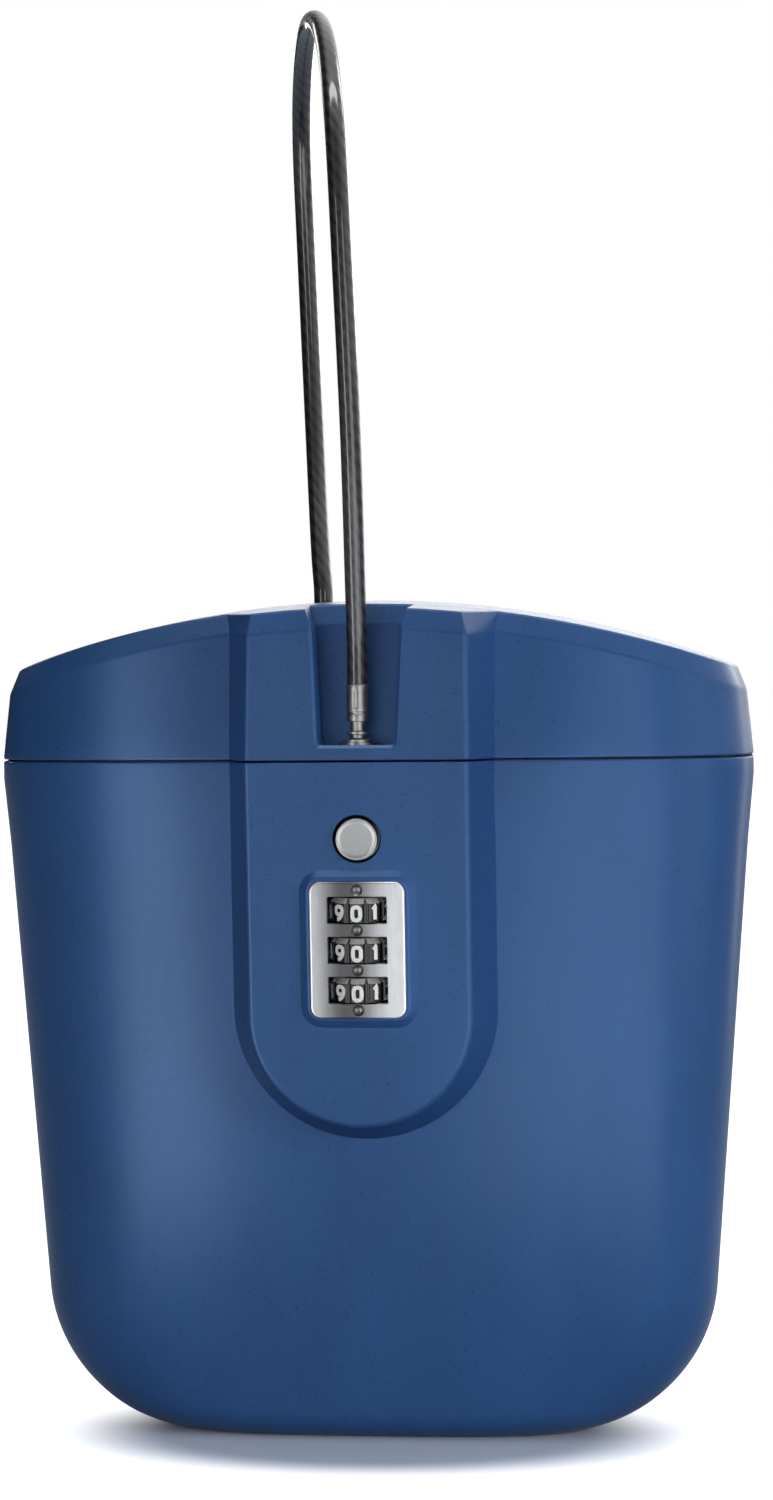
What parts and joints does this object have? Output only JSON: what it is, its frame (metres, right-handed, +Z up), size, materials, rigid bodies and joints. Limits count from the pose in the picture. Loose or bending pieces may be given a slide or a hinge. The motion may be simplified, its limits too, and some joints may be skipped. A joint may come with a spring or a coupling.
{
  "type": "portable beach safe",
  "caption": "Tapered oval bucket with a rear-hinged arched lid, a raised front panel with a dial combination lock and push button, and a stiff cable loop anchored in the lid.",
  "frame": {"origin": "middle of the flat base, where the body's mid-planes meet it", "axes": "+Z up, the front panel with the lock faces -Y, +X to the right seen from the front"},
  "size_m": [0.168, 0.1045, 0.3155],
  "materials": {
    "blue_abs": "fine moulded satin",
    "black_rubber": "matte",
    "grey_plastic": "matte",
    "satin_nickel": "satin",
    "steel": "turned",
    "dial_black": "satin",
    "cable_coating": "smooth clear coating over dark steel strands"
  },
  "bodies": {
    "body": {"body_shell": "blue_abs", "rim_seal": "black_rubber", "lock_housing": "grey_plastic", "lock_cover": "blue_abs", "lock_screw_1": "steel", "lock_screw_2": "steel", "lock_screw_3": "steel", "lock_screw_4": "steel", "face_plate": "satin_nickel", "spindle": "steel", "detent_spring": "steel", "hinge_pin": "steel"},
    "dial_top": {"dial_wheel_top": "dial_black", "dial_sleeve_top": "steel"},
    "dial_middle": {"dial_wheel_middle": "dial_black", "dial_sleeve_middle": "steel"},
    "dial_bottom": {"dial_wheel_bottom": "dial_black", "dial_sleeve_bottom": "steel"},
    "button_body": {"button": "satin_nickel", "fence_comb": "steel", "button_spring": "steel"},
    "latch_body": {"latch_slide": "steel", "latch_spring": "steel"},
    "lid": {"lid_shell": "blue_abs", "lid_liner": "blue_abs", "lid_screw_1": "steel", "lid_screw_2": "steel", "lid_screw_3": "steel", "lid_screw_4": "steel", "peg_bushing": "steel", "cable_grommet": "black_rubber", "cable": "cable_coating", "cable_ferrule": "steel", "lock_peg": "steel", "cable_stop": "steel"}
  },
  "joints": [
    {"name": "lid_hinge", "type": "hinge", "parent": "body", "child": "lid", "pos_m": [0, 0.0427, 0.1495], "axis": [-1, 0, 0], "range_deg": [0, 105]},
    {"name": "button_press", "type": "slide", "parent": "body", "child": "button_body", "axis": [0, 0.9973, 0.0741], "range_m": [0, 0.0012], "stiffness_N_per_m": 500, "springref_m": -0.002, "deforming": ["button_spring"]},
    {"name": "dial_top_turn", "type": "hinge", "parent": "body", "child": "dial_top", "pos_m": [0, -0.04407, 0.11822], "axis": [0, -0.0741, 0.9973], "continuous": true},
    {"name": "dial_middle_turn", "type": "hinge", "parent": "body", "child": "dial_middle", "pos_m": [0, -0.04343, 0.10964], "axis": [0, -0.0741, 0.9973], "continuous": true},
    {"name": "dial_bottom_turn", "type": "hinge", "parent": "body", "child": "dial_bottom", "pos_m": [0, -0.04279, 0.10106], "axis": [0, -0.0741, 0.9973], "continuous": true},
    {"name": "latch_move", "type": "slide", "parent": "body", "child": "latch_body", "axis": [1, 0, 0], "range_m": [0, 0.0026], "stiffness_N_per_m": 200, "springref_m": -0.001, "deforming": ["latch_spring"]}
  ]
}
